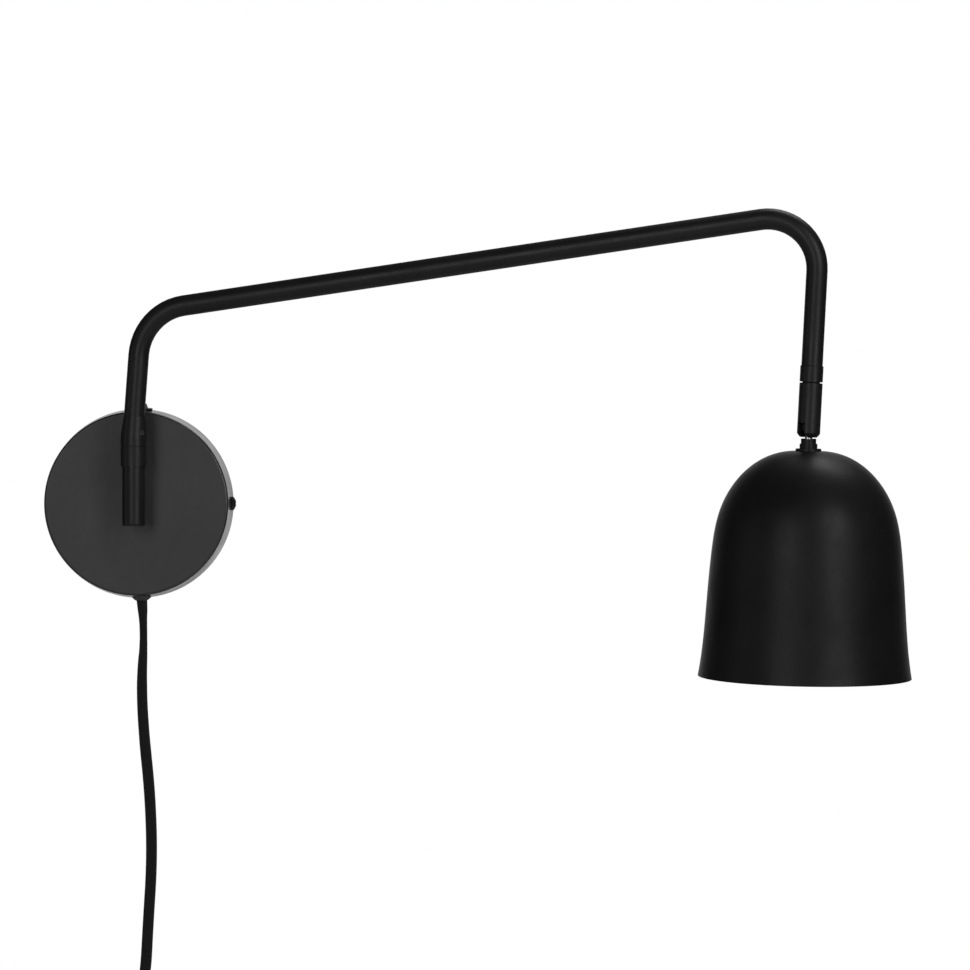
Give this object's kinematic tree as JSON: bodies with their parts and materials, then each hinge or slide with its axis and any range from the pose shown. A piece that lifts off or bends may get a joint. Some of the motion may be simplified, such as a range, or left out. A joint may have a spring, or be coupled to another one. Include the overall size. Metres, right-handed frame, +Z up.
{
  "type": "plug-in swing-arm wall sconce",
  "caption": "Matt black wall sconce: round canopy with switch and cord, swinging tube arm, bell shade hung from a swivelling ball knuckle.",
  "frame": {"origin": "centre of the canopy's rim, on the wall", "axes": "+X along the wall to the right as seen from the room, +Z up, -Y out into the room; the wall's surface is the plane Y = 0"},
  "size_m": [0.4982, 0.1695, 0.6597],
  "materials": {
    "black_coat": "matt powder coat, fine grain",
    "plated_steel": "zinc plated",
    "bright_steel": "bare, turned",
    "spring_steel": "hardened and oiled",
    "brass_parts": "turned",
    "black_plastic": "moulded, lightly grained",
    "white_plastic": "moulded",
    "bronze_washer": "plain bearing bronze",
    "nylon_washer": "nylon",
    "soft_rubber": "moulded, soft",
    "textile_cord": "woven sleeve",
    "cable_sheath": "pvc sheath",
    "wire_covering": "pvc covering",
    "lamp_glass": "opal, sprayed inside",
    "nickel_cap": "nickel plated",
    "strap_nylon": "hook and loop strap"
  },
  "bodies": {
    "wall_side": {"canopy": "black_coat", "wall_bracket": "plated_steel", "canopy_hook": "plated_steel", "canopy_screw": "black_coat", "switch_bushing": "bright_steel", "switch_nut": "black_coat", "switch_body": "black_plastic", "cord_grommet": "soft_rubber", "cord_tail": "textile_cord", "cord_clamp": "black_plastic", "clamp_screws": "plated_steel", "terminal_block": "white_plastic", "terminal_screws": "plated_steel", "supply_leads": "wire_covering", "lamp_leads": "wire_covering", "switch_leads": "wire_covering", "neck_cable": "cable_sheath", "post_nipple": "plated_steel", "neck_sleeve": "black_coat", "lock_washer": "plated_steel", "neck_nut": "plated_steel", "wall_post": "black_coat", "post_collar": "black_coat", "pivot_spindle": "bright_steel", "hinge_washer": "nylon_washer", "power_cord": "textile_cord", "cord_coil": "textile_cord", "cord_tie": "strap_nylon", "cord_end": "textile_cord", "plug_relief": "soft_rubber", "plug_body": "black_plastic", "plug_pins": "nickel_cap"},
    "lever": {"switch_lever": "bright_steel"},
    "arm": {"arm_ferrule": "black_coat", "grub_screw": "spring_steel", "arm_tube": "black_coat", "arm_cable": "cable_sheath", "end_collar": "black_coat", "core_nipple": "bright_steel", "swivel_washer": "nylon_washer", "thrust_washer": "bronze_washer", "core_nut": "plated_steel"},
    "knuckle": {"housing_cap": "black_coat", "knuckle_housing": "black_coat", "seat_ring": "spring_steel", "disc_springs": "spring_steel", "pressure_pad": "bright_steel"},
    "head": {"ball_stem": "bright_steel", "shade_washer": "black_coat", "shade": "black_coat", "holder_cap": "black_plastic", "holder_body": "black_plastic", "holder_ring": "black_plastic", "holder_shell": "nickel_cap", "holder_contact": "brass_parts", "lamp_cap": "nickel_cap", "lamp_globe": "lamp_glass", "head_wires": "wire_covering"}
  },
  "joints": [
    {"name": "arm_swing", "type": "hinge", "parent": "wall_side", "child": "arm", "pos_m": [0, -0.04, 0], "axis": [0, 0, -1], "range_deg": [-7, 165]},
    {"name": "shade_swivel", "type": "hinge", "parent": "arm", "child": "knuckle", "pos_m": [0.38642, -0.11651, 0.07759], "axis": [-0.0517, 0.0102, -0.9986], "range_deg": [-175, 175]},
    {"name": "shade_tilt", "type": "hinge", "parent": "knuckle", "child": "head", "pos_m": [0.38465, -0.11616, 0.04334], "axis": [-0.694, 0.7187, 0.0433], "range_deg": [-8, 93]},
    {"name": "switch_throw", "type": "hinge", "parent": "wall_side", "child": "lever", "pos_m": [0.00298, -0.0117, 0.05689], "axis": [0.0044, 0.9965, 0.0836], "range_deg": [0, 24]}
  ]
}
